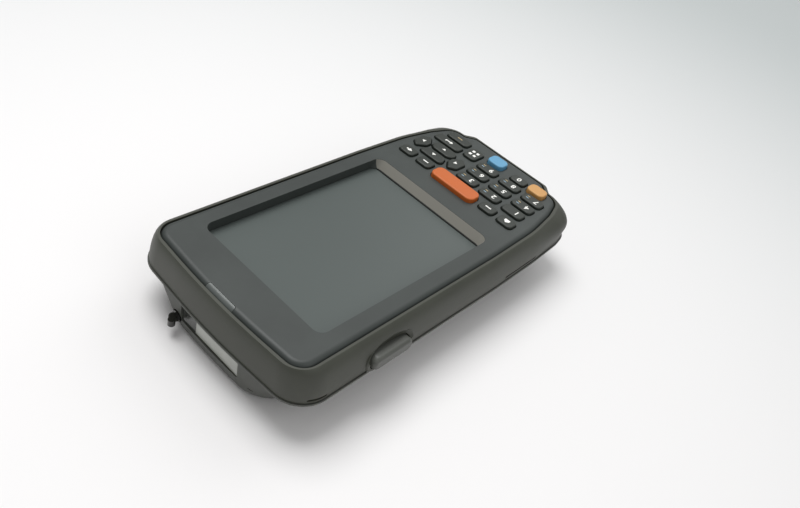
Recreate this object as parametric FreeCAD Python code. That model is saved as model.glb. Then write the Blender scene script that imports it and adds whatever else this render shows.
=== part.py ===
import FreeCAD, Part
import math
import os

# Portable barcode data terminal, built as separate pieces in one frame.
# Millimetres. +X is the right-hand side seen from the front, +Y points to the
# scanner end and +Z out of the display. The back rests on Z = 0.

os.makedirs("parts", exist_ok=True)
V = FreeCAD.Vector

# Levels above the resting plane
FACE_TOP = 28.0
RIM_TOP = 27.4
RIM_LOW = 15.7
PART_GAP = 0.25
PLATE_UNDER = 25.4
LEDGE_THICK = 1.2
GLASS_TOP = 24.0
GLASS_THICK = 1.1
GASKET_THICK = 0.3
LCD_THICK = 4.0
BOARD_TOP = 18.2
BOARD_THICK = 1.6

# Clearances
SEAM_GAP = 0.2
MOVE_GAP = 0.35
TINY = 0.0001
OVER = 1.0

# Display width and what lies outside it on each side
SCREEN_HALF = 28.5
PLATE_SIDE = 7.1
SEAM_HALF = SCREEN_HALF + PLATE_SIDE

# Rim sections from its foot up to the seam, each a little smaller than the last
RIM_LEVELS = (RIM_LOW, 20.0, 24.0, 26.4, RIM_TOP)
RIM_CROWN_Y = (77.8, 77.7, 77.4, 76.9, 76.4)
RIM_CORNER_OUT = (4.6, 4.3, 3.3, 2.0, 0.9)
RIM_CORNER_R = (11.0, 11.0, 10.6, 9.6, 8.4)
RIM_MID_OUT = (4.7, 4.4, 3.4, 2.1, 1.0)
RIM_HIP_OUT = (4.1, 4.0, 2.9, 1.5, 0.5)
RIM_TAIL_OUT = (3.0, 3.0, 1.8, -0.6, -1.9)
RIM_TAIL_Y = (-65.0, -65.0, -64.5, -63.0, -62.0)
RIM_END_OUT = (0.8, 1.0, 0.0, -3.4, -5.5)
RIM_END_Y = (-75.8, -76.0, -75.6, -74.6, -73.8)
RIM_CHIN_OUT = (3.0, 2.8, 2.9, 3.2, 3.7)
RIM_CROWN_DROP = 2.4
RIM_CROWN_R = 300.0
RIM_MID_Y = -20.0
RIM_MID_R = 150.0
RIM_HIP_Y = -46.0
RIM_HIP_R = 70.0
RIM_TAIL_R = 24.0
RIM_END_R = 7.5
RIM_WALL = 2.4
CHIN_HALF = 23.6
CHIN_STEP = 3.8
CHIN_BASE_R = 1.8
CHIN_TIP_R = 3.0
LEDGE_WIDTH = 1.9

# Outline of the face plate seam, right half
SEAM_CROWN_Y = 75.3
SEAM_CROWN_DROP = 2.4
SEAM_CORNER_R = 6.5
SEAM_HIP_IN = 0.7
SEAM_TAIL_IN = 3.0
SEAM_TAIL_Y = -61.0
SEAM_END_IN = 6.6
SEAM_END_Y = -73.0
SEAM_END_R = 7.0
SEAM_CHIN_HALF = 22.4
SEAM_CHIN_OUT = 3.7
SEAM_CHIN_TIP_R = 3.0
PLATE_EDGE_R = 2.2

# Display opening in the face plate
SCREEN_HIGH_Y = 59.4
SCREEN_LOW_Y = -24.6
SCREEN_CORNER_R = 3.5
SCREEN_SLOPE = 2.4
SKIRT_WALL = 1.6
PANEL_HALF = 30.7
PANEL_HIGH_Y = 61.6
PANEL_LOW_Y = -26.4
PANEL_CORNER_R = 2.0
LCD_INSET = 0.6
GASKET_WIDTH = 1.9

# Light pipe of the status lamp
LAMP_HALF = 6.3
LAMP_LOW_Y = 72.6
LAMP_GAP = 0.12
LAMP_CORNER_R = 0.8

# Rear housing sections, from the parting line down to the resting face
REAR_TOP = RIM_LOW - PART_GAP
REAR_LEVELS = (REAR_TOP, 10.5, 5.5, 1.6, 0.0)
REAR_HEAD_Y = (77.0, 76.9, 76.3, 75.3, 73.8)
REAR_HEAD_OUT = (2.2, -2.6, -6.6, -9.6, -11.6)
REAR_WAIST_OUT = (3.0, -1.1, -4.4, -6.4, -7.6)
REAR_TAIL_OUT = (0.8, -3.1, -6.1, -7.4, -8.3)
REAR_TAIL_Y = (-62.0, -58.0, -52.0, -44.0, -39.0)
REAR_END_Y = (-74.2, -69.6, -62.5, -53.5, -47.5)
REAR_CHIN_DROP = (3.0, 2.6, 1.6, 0.8, 0.5)
REAR_CHIN_X = (22.6, 21.4, 18.4, 15.5, 14.0)
REAR_CHIN_STEP = 3.0
REAR_END_IN = 3.0
REAR_CROWN_DROP = (2.4, 1.9, 1.4, 1.0, 0.8)
REAR_HEAD_R = 12.0
REAR_HEAD_LOW_Y = 56.0
REAR_NECK_Y = 42.0
REAR_NECK_R = 14.0
REAR_END_R = 7.0
REAR_WALL = 1.8
BEAD_OUT = 0.45
BEAD_TALL = 1.0
BEAD_BEVEL = 0.35
DECK_Z = 12.4
SPIGOT_WALL = 1.2
SPIGOT_RISE = 1.4

# Scanner end
WINDOW_HALF = 14.3
WINDOW_LOW = 5.8
WINDOW_HIGH = 13.1
WINDOW_THICK = 1.2
WINDOW_FACE_Y = 75.3
WINDOW_LIP = 1.0
WINDOW_CORNER_R = 0.8
ENGINE_HALF = 10.6
ENGINE_BACK_Y = 53.0
ENGINE_FRONT_Y = 71.0
ENGINE_LOW = 3.4
ENGINE_HIGH = 13.4
ENGINE_BEVEL = 1.2
ENGINE_GAP = 0.4
ENGINE_POCKET_HALF = 12.4
LENS_X = 5.4
LENS_R = 2.9
LENS_OUT = 1.6
SCAN_NOTCH_X = -20.0
SCAN_NOTCH_Z = 5.4

# Stylus and its silo
STYLUS_X = 16.7
STYLUS_Z = 5.6
STYLUS_R = 2.0
SILO_R = 2.35
SILO_END_Y = -18.0
STYLUS_TIP_Y = -14.0
STYLUS_NECK_Y = 76.0
STYLUS_TIP_R = 0.5
STYLUS_CONE = 7.0
HOOK_REACH = 3.8
HOOK_R = 1.25
HOOK_THICK = 2.4

# Battery bay, battery and its door
BAY_LEFT = -22.7
BAY_RIGHT = 13.0
BAY_LOW_Y = -34.3
BAY_HIGH_Y = 28.3
BAY_TOP = 11.1
PACK_GAP = 0.3
PACK_LOW = 2.5
PACK_HIGH = 10.8
PACK_R = 2.0
DOOR_HALF = 24.5
DOOR_HIGH_Y = 33.0
DOOR_LOW_Y = -41.6
DOOR_LOW = 0.3
DOOR_HIGH = 2.1
DOOR_CORNER_R = 3.0
DOOR_RAIL_WEB = 1.2
DOOR_RAIL_OUT = 1.5
DOOR_RAIL_HIGH = 3.9
DOOR_RAIL_END = 3.0
GRIP_COUNT = 5
GRIP_PITCH = 2.4
GRIP_HALF = 9.0
GRIP_DEPTH = 0.6
GRIP_WIDTH = 1.1
GRIP_START_Y = -36.0
CONTACT_X = -5.0
CONTACT_HALF = 7.0
CONTACT_DEPTH = 3.2
CONTACT_LOW = 4.2
CONTACT_HIGH = 9.2
BLADE_COUNT = 4
BLADE_PITCH = 3.2
BLADE_HALF = 0.7

# Side scan buttons
BUTTON_Y = 38.0
BUTTON_Z = 18.4
BUTTON_HALF_LONG = 9.0
BUTTON_HALF_HIGH = 2.7
BUTTON_RISE = 1.5
BUTTON_FLANGE = 0.9
BUTTON_FLANGE_THICK = 0.8
BUTTON_STEM = 0.5
BUTTON_EDGE_R = 1.3
BUTTON_TRAVEL = 1.2
LOBE_MARGIN = 1.9
LOBE_EDGE_R = 1.0
LOBE_STAND = 5.2
LOBE_DEEP = 4.4
LOBE_OUT = SEAM_HALF + LOBE_STAND
LOBE_IN = LOBE_OUT - LOBE_DEEP
BUTTON_OUT = LOBE_OUT + BUTTON_RISE
BUTTON_FACE_IN = LOBE_IN - MOVE_GAP
BUTTON_IN = BUTTON_FACE_IN - BUTTON_FLANGE_THICK - BUTTON_STEM
SCOOP_REACH_X = 4.4
SCOOP_REACH_Y = 12.5
SCOOP_REACH_Z = 6.0
SCOOP_X = LOBE_OUT + 2.0
SCOOP_Z = 21.5
SWITCH_GAP = 0.4
PLUNGER_OUT = BUTTON_IN - BUTTON_TRAVEL - SWITCH_GAP
SWITCH_OUT = PLUNGER_OUT - 0.5
SWITCH_IN = SWITCH_OUT - 1.9
SWITCH_HALF = 3.0
PLUNGER_HALF = 1.0
SWITCH_TALL = 2.0

# Keypad stack
KEY_TOP = 29.0
KEY_GAP = 0.35
KEY_FOOT = 23.9
KEY_FLANGE_LOW = 24.15
KEY_FLANGE_TOP = PLATE_UNDER - MOVE_GAP
KEY_TAB_OUT = 0.55
KEY_EDGE_R = 0.55
KEY_STEM_R = 1.3
DOME_BASE = 22.3
DOME_SHEET = 0.15
DOME_RISE = 0.5
DOME_R = 2.1
KEYPAD_THICK = 1.2
KEYPAD_HALF = 32.0
KEYPAD_HIGH_Y = -30.0
KEYPAD_LOW_Y = -72.6
KEYPAD_CORNER_R = 6.0
POST_R = 1.1
POST_TAIL_Y = -70.7
POST_TAIL_LEFT = -5.6
POST_TAIL_RIGHT = 9.4

# Key positions and sizes
COL_1 = -23.6
COL_2 = -11.8
COL_3 = 0.0
DIGIT_W = 9.6
DIGIT_H = 5.3
DIGIT_R = 1.7
ROW_TOP_Y = -39.0
ROW_2_Y = -46.9
ROW_3_Y = -53.8
ROW_4_Y = -60.7
TOP_KEY_W = 7.2
TOP_KEY_H = 5.6
TOP_OUTER_X = 26.0
TOP_INNER_X = 16.7
SCAN_KEY_Y = -38.2
SCAN_KEY_W = 21.6
SCAN_KEY_H = 7.4
SCAN_KEY_R = 2.6
SCAN_KEY_TOP = 29.8
ZERO_Y = -67.3
ZERO_W = 7.4
AMBER_X = -21.0
AMBER_Y = -67.4
AMBER_W = 8.0
AMBER_H = 6.2
BLUE_X = 0.8
BLUE_Y = -68.4
BLUE_W = 7.8
BLUE_H = 6.6
COLOUR_KEY_TOP = 29.9
COLOUR_KEY_R = 2.2
MENU_X = 10.3
MENU_Y = -63.6
MENU_W = 6.4
MENU_H = 8.6
NAV_X = 18.7
NAV_Y = -50.2
NAV_UP_Y = -46.2
NAV_UP_W = 13.0
NAV_UP_LOW_W = 9.6
NAV_UP_H = 5.2
NAV_SIDE_OUT = 12.0
NAV_SIDE_MID = 9.0
NAV_SIDE_IN = 6.0
NAV_SIDE_HALF = 5.4
NAV_SIDE_IN_HALF = 2.9
NAV_DOWN_Y = -53.4
NAV_DOWN_W = 11.6
NAV_DOWN_H = 5.8
NAV_DOWN_R = 2.8
ENTER_X = 21.8
ENTER_Y = -60.3
ENTER_W = 13.6
ENTER_H = 5.2
CLEAR_X = 21.0
CLEAR_Y = -66.9
CLEAR_W = 11.2
CLEAR_H = 5.2

# Boards and what they carry
BOARD_HALF = 33.0
BOARD_HIGH_Y = 70.0
BOARD_LOW_Y = -68.0
BOARD_CORNER_R = 7.0
CHIP_RISE = 0.5
CHIP_SPOTS = ((-14.0, 30.0, 14.0, 14.0), (10.0, 26.0, 12.0, 18.0), (-6.0, -8.0, 18.0, 11.0))
RADIO_BOX = (-12.0, 8.0, 2.0, 20.0)
RADIO_DROP = 2.2
CARD_BOX = (17.0, 32.0, -16.0, -1.0)
CARD_DROP = 1.8
LINK_HALF = 7.0
LINK_Y = -33.0
LINK_DEPTH = 3.2
SPEAKER_X = -12.0
SPEAKER_Y = -53.0
SPEAKER_R = 7.5
SPEAKER_HIGH = DECK_Z - 0.2
SPEAKER_TALL = 3.4
SPEAKER_LIP = 1.0
GRILLE_R = 0.8
GRILLE_PITCH = 3.0
DOCK_HALF = 9.0
DOCK_Y = -67.5
DOCK_LOW = 8.8
DOCK_HIGH = 12.2
DOCK_DEPTH = 4.0
DOCK_INSET = 0.6
DOCK_PIN_COUNT = 8
DOCK_PIN_PITCH = 2.0
DOCK_PIN_HALF = 0.5

# Housing screws
SCREW_HEAD_X = 22.9
SCREW_HEAD_Y = 67.0
SCREW_TAIL_X = 18.6
SCREW_TAIL_Y = -66.0
SCREW_R = 1.0
SCREW_CAP_R = 2.0
SCREW_CAP_TALL = 1.5
SCREW_SEAT_HEAD = 2.8
SCREW_SEAT_TAIL = 10.4
SCREW_TIP = 20.0
SCREW_BORE_R = 2.35
BOSS_R = 2.6
BOSS_TOP = 20.6
END_WEB = 16.0
HEX_R = 0.75
HEX_DEPTH = 0.8

# Slots in the left of the rim
SLIT_LOW_Y = -47.0
SLIT_HIGH_Y = -26.0
SLIT_Z = 17.0
SLIT_HEIGHT = 0.8
SLIT_DEPTH = 0.9
NOTCH_LOW_Y = 64.6
NOTCH_HIGH_Y = 71.4
NOTCH_Z = 16.5


def box(x0, x1, y0, y1, z0, z1):
    return Part.makeBox(x1 - x0, y1 - y0, z1 - z0, V(x0, y0, z0))


def rod(radius, base, length, direction):
    return Part.makeCylinder(radius, length, base, direction)


def rounded_wire(corners, z):
    points = [V(x, y, z) for x, y, radius in corners]
    count = len(points)
    arcs = []
    for i in range(count):
        here = points[i]
        back = (points[i - 1] - here).normalize()
        ahead = (points[(i + 1) % count] - here).normalize()
        half = back.getAngle(ahead) / 2
        radius = corners[i][2]
        reach = radius / math.tan(half)
        middle = back + ahead
        if middle.Length < TINY or radius < TINY:
            arcs.append((here, here, None))
            continue
        middle = middle.normalize()
        start = here + back * reach
        end = here + ahead * reach
        crest = here + middle * (radius / math.sin(half) - radius)
        arcs.append((start, end, crest))
    edges = []
    for i in range(count):
        start, end, crest = arcs[i]
        if crest is not None:
            edges.append(Part.Arc(start, crest, end).toShape())
        following = arcs[(i + 1) % count][0]
        if (following - end).Length > TINY:
            edges.append(Part.makeLine(end, following))
    return Part.Wire(edges)


def mirrored(right):
    left = [(-x, y, radius) for x, y, radius in reversed(right) if abs(x) > TINY]
    return right + left


def prism(corners, z0, z1):
    face = Part.Face(rounded_wire(corners, z0))
    return face.extrude(V(0, 0, z1 - z0))


def inset(corners, depth):
    # The same outline with every side moved inwards and its arcs kept concentric
    count = len(corners)
    area = 0
    for i in range(count):
        x0, y0 = corners[i - 1][:2]
        x1, y1 = corners[i][:2]
        area += x0 * y1 - x1 * y0
    turn = 1 if area > 0 else -1
    moved = []
    for i in range(count):
        x, y, radius = corners[i]
        before = corners[i - 1]
        after = corners[(i + 1) % count]
        back = V(x - before[0], y - before[1], 0).normalize()
        ahead = V(after[0] - x, after[1] - y, 0).normalize()
        side_a = V(-back.y, back.x, 0) * turn
        side_b = V(-ahead.y, ahead.x, 0) * turn
        shift = (side_a + side_b) * (depth / (1 + side_a.dot(side_b)))
        bend = (back.x * ahead.y - back.y * ahead.x) * turn
        reach = radius - depth if bend > 0 else radius + depth
        moved.append((x + shift.x, y + shift.y, max(reach, 0)))
    return moved


def edges_at(solid, z):
    found = []
    for edge in solid.Edges:
        limits = edge.BoundBox
        if abs(limits.ZMin - z) < TINY and abs(limits.ZMax - z) < TINY:
            found.append(edge)
    return found


def rim_corners(i):
    end_x = SEAM_HALF + RIM_END_OUT[i]
    right = [
        (0, RIM_CROWN_Y[i], RIM_CROWN_R),
        (SEAM_HALF + RIM_CORNER_OUT[i], RIM_CROWN_Y[i] - RIM_CROWN_DROP, RIM_CORNER_R[i]),
        (SEAM_HALF + RIM_MID_OUT[i], RIM_MID_Y, RIM_MID_R),
        (SEAM_HALF + RIM_HIP_OUT[i], RIM_HIP_Y, RIM_HIP_R),
        (SEAM_HALF + RIM_TAIL_OUT[i], RIM_TAIL_Y[i], RIM_TAIL_R),
        (end_x, RIM_END_Y[i], RIM_END_R),
        (CHIN_HALF, RIM_END_Y[i], CHIN_BASE_R),
        (CHIN_HALF - CHIN_STEP, RIM_END_Y[i] - RIM_CHIN_OUT[i], CHIN_TIP_R),
    ]
    return mirrored(right)


def rim_block():
    sections = [rounded_wire(rim_corners(i), RIM_LEVELS[i]) for i in range(len(RIM_LEVELS))]
    return Part.makeLoft(sections, True, False)


def rim_cavity():
    # Inside of the rim, a straight taper under the ledge
    foot = rounded_wire(inset(rim_corners(0), RIM_WALL), RIM_LOW - OVER)
    belt = rounded_wire(inset(rim_corners(1), RIM_WALL), RIM_LEVELS[1])
    head = rounded_wire(inset(rim_corners(2), RIM_WALL), PLATE_UNDER - LEDGE_THICK)
    return Part.makeLoft([foot, belt, head], True, True)


def seam_corners():
    tail_x = SEAM_HALF - SEAM_TAIL_IN
    right = [
        (0, SEAM_CROWN_Y, RIM_CROWN_R),
        (SEAM_HALF, SEAM_CROWN_Y - SEAM_CROWN_DROP, SEAM_CORNER_R),
        (SEAM_HALF, RIM_MID_Y, RIM_MID_R),
        (SEAM_HALF - SEAM_HIP_IN, RIM_HIP_Y, RIM_HIP_R),
        (tail_x, SEAM_TAIL_Y, RIM_TAIL_R),
        (SEAM_HALF - SEAM_END_IN, SEAM_END_Y, SEAM_END_R),
        (SEAM_CHIN_HALF, SEAM_END_Y, CHIN_BASE_R),
        (SEAM_CHIN_HALF - CHIN_STEP, SEAM_END_Y - SEAM_CHIN_OUT, SEAM_CHIN_TIP_R),
    ]
    return mirrored(right)


def rectangle(x0, x1, y0, y1, radius):
    return [(x0, y0, radius), (x1, y0, radius), (x1, y1, radius), (x0, y1, radius)]


def stadium(half_long, half_high, x0, x1):
    # A slot shape drawn across the side wall and pulled along X
    straight = half_long - half_high
    middle = box(x0, x1, BUTTON_Y - straight, BUTTON_Y + straight, BUTTON_Z - half_high, BUTTON_Z + half_high)
    near = rod(half_high, V(x0, BUTTON_Y - straight, BUTTON_Z), x1 - x0, V(1, 0, 0))
    far = rod(half_high, V(x0, BUTTON_Y + straight, BUTTON_Z), x1 - x0, V(1, 0, 0))
    return middle.fuse([near, far]).removeSplitter()


def mirror_x(shape):
    return shape.mirror(V(0, 0, 0), V(1, 0, 0))


def screw_places():
    return [
        (SCREW_HEAD_X, SCREW_HEAD_Y, SCREW_SEAT_HEAD),
        (-SCREW_HEAD_X, SCREW_HEAD_Y, SCREW_SEAT_HEAD),
        (SCREW_TAIL_X, SCREW_TAIL_Y, SCREW_SEAT_TAIL),
        (-SCREW_TAIL_X, SCREW_TAIL_Y, SCREW_SEAT_TAIL),
    ]


def key_rectangle(x, y, width, height, radius):
    return [
        (x - width / 2, y - height / 2, radius),
        (x + width / 2, y - height / 2, radius),
        (x + width / 2, y + height / 2, radius),
        (x - width / 2, y + height / 2, radius),
    ]


def nav_up_corners():
    low = NAV_UP_Y - NAV_UP_H / 2
    high = NAV_UP_Y + NAV_UP_H / 2
    return [
        (NAV_X - NAV_UP_LOW_W / 2, low, DIGIT_R),
        (NAV_X + NAV_UP_LOW_W / 2, low, DIGIT_R),
        (NAV_X + NAV_UP_W / 2, high, DIGIT_R),
        (NAV_X - NAV_UP_W / 2, high, DIGIT_R),
    ]


def nav_side_corners(side):
    corners = [
        (NAV_X + side * NAV_SIDE_OUT, NAV_Y - NAV_SIDE_IN_HALF, DIGIT_R),
        (NAV_X + side * NAV_SIDE_OUT, NAV_Y + NAV_SIDE_IN_HALF, DIGIT_R),
        (NAV_X + side * NAV_SIDE_MID, NAV_Y + NAV_SIDE_HALF, DIGIT_R / 2),
        (NAV_X + side * NAV_SIDE_IN, NAV_Y + NAV_SIDE_IN_HALF / 2, DIGIT_R / 2),
        (NAV_X + side * NAV_SIDE_IN, NAV_Y - NAV_SIDE_IN_HALF / 2, DIGIT_R / 2),
        (NAV_X + side * NAV_SIDE_MID, NAV_Y - NAV_SIDE_HALF, DIGIT_R / 2),
    ]
    return corners


def key_plan():
    # Name, outline corners and height of the top of every key
    plan = {}
    plan["key_home"] = (key_rectangle(-TOP_OUTER_X, ROW_TOP_Y, TOP_KEY_W, TOP_KEY_H, DIGIT_R), KEY_TOP)
    plan["key_soft_left"] = (key_rectangle(-TOP_INNER_X, ROW_TOP_Y, TOP_KEY_W, TOP_KEY_H, DIGIT_R), KEY_TOP)
    plan["key_scan"] = (key_rectangle(0, SCAN_KEY_Y, SCAN_KEY_W, SCAN_KEY_H, SCAN_KEY_R), SCAN_KEY_TOP)
    plan["key_soft_right"] = (key_rectangle(TOP_INNER_X, ROW_TOP_Y, TOP_KEY_W, TOP_KEY_H, DIGIT_R), KEY_TOP)
    plan["key_back"] = (key_rectangle(TOP_OUTER_X, ROW_TOP_Y, TOP_KEY_W, TOP_KEY_H, DIGIT_R), KEY_TOP)
    digit = 1
    for row in (ROW_2_Y, ROW_3_Y, ROW_4_Y):
        for column in (COL_1, COL_2, COL_3):
            corners = key_rectangle(column, row, DIGIT_W, DIGIT_H, DIGIT_R)
            plan["key_%d" % digit] = (corners, KEY_TOP)
            digit += 1
    plan["key_0"] = (key_rectangle(COL_2, ZERO_Y, ZERO_W, DIGIT_H, DIGIT_R), KEY_TOP)
    plan["key_amber"] = (key_rectangle(AMBER_X, AMBER_Y, AMBER_W, AMBER_H, COLOUR_KEY_R), COLOUR_KEY_TOP)
    plan["key_blue"] = (key_rectangle(BLUE_X, BLUE_Y, BLUE_W, BLUE_H, COLOUR_KEY_R), COLOUR_KEY_TOP)
    plan["key_menu"] = (key_rectangle(MENU_X, MENU_Y, MENU_W, MENU_H, DIGIT_R), KEY_TOP)
    plan["key_up"] = (nav_up_corners(), KEY_TOP)
    plan["key_left"] = (nav_side_corners(-1), KEY_TOP)
    plan["key_right"] = (nav_side_corners(1), KEY_TOP)
    plan["key_down"] = (key_rectangle(NAV_X, NAV_DOWN_Y, NAV_DOWN_W, NAV_DOWN_H, NAV_DOWN_R), KEY_TOP)
    plan["key_enter"] = (key_rectangle(ENTER_X, ENTER_Y, ENTER_W, ENTER_H, DIGIT_R), KEY_TOP)
    plan["key_clear"] = (key_rectangle(CLEAR_X, CLEAR_Y, CLEAR_W, CLEAR_H, DIGIT_R), KEY_TOP)
    return plan


def key_solid(corners, top):
    # Cap above the plate, two side tabs under it and a stem over the dome
    cap = prism(corners, KEY_FLANGE_LOW, top)
    cap = cap.makeFillet(KEY_EDGE_R, edges_at(cap, top))
    limits = rounded_wire(corners, 0).BoundBox
    middle_x = (limits.XMin + limits.XMax) / 2
    middle_y = (limits.YMin + limits.YMax) / 2
    reach = limits.YLength / 6
    tabs = box(
        limits.XMin - KEY_TAB_OUT,
        limits.XMax + KEY_TAB_OUT,
        middle_y - reach,
        middle_y + reach,
        KEY_FLANGE_LOW,
        KEY_FLANGE_TOP,
    )
    stem = rod(KEY_STEM_R, V(middle_x, middle_y, KEY_FOOT), top - KEY_FOOT - KEY_EDGE_R, V(0, 0, 1))
    return cap.fuse([tabs, stem]).removeSplitter()


def key_centres():
    centres = []
    for corners, top in key_plan().values():
        limits = rounded_wire(corners, 0).BoundBox
        centres.append(((limits.XMin + limits.XMax) / 2, (limits.YMin + limits.YMax) / 2))
    return centres


def screen_tool():
    # Opening for the display: straight walls, sloped at the keypad end
    above = rectangle(-SCREEN_HALF, SCREEN_HALF, SCREEN_LOW_Y, SCREEN_HIGH_Y, SCREEN_CORNER_R)
    low_y = SCREEN_LOW_Y + SCREEN_SLOPE
    below = rectangle(-SCREEN_HALF, SCREEN_HALF, low_y, SCREEN_HIGH_Y, SCREEN_CORNER_R)
    body = Part.makeLoft([rounded_wire(below, GLASS_TOP), rounded_wire(above, FACE_TOP)], True, True)
    body = body.fuse(prism(above, FACE_TOP, FACE_TOP + OVER))
    return body.removeSplitter()


def lamp_notch(gap):
    return rectangle(-LAMP_HALF - gap, LAMP_HALF + gap, LAMP_LOW_Y - gap, RIM_CROWN_Y[0], LAMP_CORNER_R)


def face_plate():
    plate = prism(inset(seam_corners(), SEAM_GAP / 2), PLATE_UNDER, FACE_TOP)
    plate = plate.makeFillet(PLATE_EDGE_R, edges_at(plate, FACE_TOP))
    skirt = rectangle(
        -SCREEN_HALF - SKIRT_WALL,
        SCREEN_HALF + SKIRT_WALL,
        SCREEN_LOW_Y - SKIRT_WALL,
        SCREEN_HIGH_Y + SKIRT_WALL,
        SCREEN_CORNER_R + SKIRT_WALL,
    )
    plate = plate.fuse(prism(skirt, GLASS_TOP + GASKET_THICK, PLATE_UNDER + OVER))
    post_low = DOME_BASE
    for x, y in post_places():
        plate = plate.fuse(rod(POST_R, V(x, y, post_low), PLATE_UNDER + OVER - post_low, V(0, 0, 1)))
    plate = plate.cut(screen_tool())
    holes = []
    for corners, top in key_plan().values():
        holes.append(prism(inset(corners, -KEY_GAP), PLATE_UNDER - OVER, FACE_TOP + OVER))
    plate = plate.cut(holes)
    plate = plate.cut(prism(lamp_notch(LAMP_GAP), PLATE_UNDER - OVER, FACE_TOP + OVER))
    return plate.removeSplitter()


def post_places():
    near_x = SCREEN_HALF + POST_R
    return [
        (near_x, KEYPAD_HIGH_Y - POST_R * 2),
        (-near_x, KEYPAD_HIGH_Y - POST_R * 2),
        (POST_TAIL_RIGHT, POST_TAIL_Y),
        (POST_TAIL_LEFT, POST_TAIL_Y),
    ]


def light_pipe():
    blank = prism(inset(seam_corners(), SEAM_GAP / 2), PLATE_UNDER, FACE_TOP)
    blank = blank.makeFillet(PLATE_EDGE_R, edges_at(blank, FACE_TOP))
    return blank.common(prism(lamp_notch(0), PLATE_UNDER, FACE_TOP))


def button_lobe(extra):
    lobe = stadium(
        BUTTON_HALF_LONG + LOBE_MARGIN + extra,
        BUTTON_HALF_HIGH + LOBE_MARGIN + extra,
        LOBE_IN - extra,
        LOBE_OUT,
    )
    outer = [edge for edge in lobe.Edges if abs(edge.BoundBox.XMin - LOBE_OUT) < TINY]
    return lobe.makeFillet(LOBE_EDGE_R, outer)


def button_hole():
    return stadium(
        BUTTON_HALF_LONG + MOVE_GAP,
        BUTTON_HALF_HIGH + MOVE_GAP,
        LOBE_IN - OVER,
        LOBE_OUT + OVER,
    )


def scoop():
    # A shallow finger dish pressed into the flank over the button
    ball = Part.makeSphere(1.0)
    matrix = FreeCAD.Matrix()
    matrix.scale(SCOOP_REACH_X, SCOOP_REACH_Y, SCOOP_REACH_Z)
    dish = ball.transformGeometry(matrix)
    dish.translate(V(SCOOP_X, BUTTON_Y, SCOOP_Z))
    return dish


def web_boxes(gap):
    # Ribs from each screw post towards the nearer end wall
    webs = []
    half = SCREW_R + gap
    for x, y, seat in screw_places():
        far = y + END_WEB if y > 0 else y - END_WEB
        webs.append(box(x - half, x + half, min(y, far), max(y, far), RIM_LOW - gap, BOSS_TOP))
    return webs


def boss_webs():
    # Screw posts tied to the end walls of the rim
    inside = prism(inset(rim_corners(0), RIM_WALL / 2), RIM_LOW, BOSS_TOP)
    pieces = [web.common(inside) for web in web_boxes(0)]
    for x, y, seat in screw_places():
        pieces.append(rod(BOSS_R, V(x, y, RIM_LOW), BOSS_TOP - RIM_LOW, V(0, 0, 1)))
    return pieces


def mid_frame():
    frame = rim_block()
    lobe = button_lobe(0)
    frame = frame.fuse([lobe, mirror_x(lobe)])
    frame = frame.cut(rim_cavity())
    reach_y = BUTTON_HALF_LONG * 2
    inner = box(LOBE_IN, LOBE_OUT - RIM_WALL, BUTTON_Y - reach_y, BUTTON_Y + reach_y, 0, PLATE_UNDER)
    pad = button_lobe(0).common(inner)
    frame = frame.fuse([pad, mirror_x(pad)])
    seam = seam_corners()
    frame = frame.cut(prism(inset(seam, LEDGE_WIDTH), RIM_LOW, RIM_TOP + OVER))
    frame = frame.cut(prism(inset(seam, -SEAM_GAP / 2), PLATE_UNDER, RIM_TOP + OVER))
    frame = frame.fuse(boss_webs())
    for x, y, seat in screw_places():
        frame = frame.cut(rod(SCREW_R, V(x, y, RIM_LOW), SCREW_TIP - RIM_LOW, V(0, 0, 1)))
    dish = scoop()
    hole = button_hole()
    frame = frame.cut([dish, mirror_x(dish), hole, mirror_x(hole)])
    side = -SEAM_HALF - RIM_MID_OUT[0]
    slit = box(side - OVER, side + SLIT_DEPTH, SLIT_LOW_Y, SLIT_HIGH_Y, SLIT_Z, SLIT_Z + SLIT_HEIGHT)
    notch = box(side - OVER, side + SLIT_DEPTH * 2, NOTCH_LOW_Y, NOTCH_HIGH_Y, NOTCH_Z, NOTCH_Z + SLIT_HEIGHT)
    frame = frame.cut([slit, notch])
    return frame.removeSplitter()


def rear_corners(i):
    head_y = REAR_HEAD_Y[i]
    end_y = REAR_END_Y[i]
    tail = SEAM_HALF + REAR_TAIL_OUT[i]
    head = SEAM_HALF + REAR_HEAD_OUT[i]
    waist = SEAM_HALF + REAR_WAIST_OUT[i]
    right = [
        (0, head_y, RIM_CROWN_R),
        (head, head_y - REAR_CROWN_DROP[i], REAR_HEAD_R),
        (head, REAR_HEAD_LOW_Y, REAR_NECK_R),
        (waist, REAR_NECK_Y, REAR_NECK_R),
        (waist, RIM_MID_Y, RIM_HIP_R),
        (tail, REAR_TAIL_Y[i], REAR_NECK_R),
        (tail - REAR_END_IN, end_y, REAR_END_R),
        (REAR_CHIN_X[i], end_y, CHIN_BASE_R / 4),
        (REAR_CHIN_X[i] - REAR_CHIN_STEP, end_y - REAR_CHIN_DROP[i], CHIN_BASE_R / 4),
    ]
    return mirrored(right)


def rear_block():
    sections = [rounded_wire(rear_corners(i), REAR_LEVELS[i]) for i in range(len(REAR_LEVELS))]
    return Part.makeLoft(sections, True, False)


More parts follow.
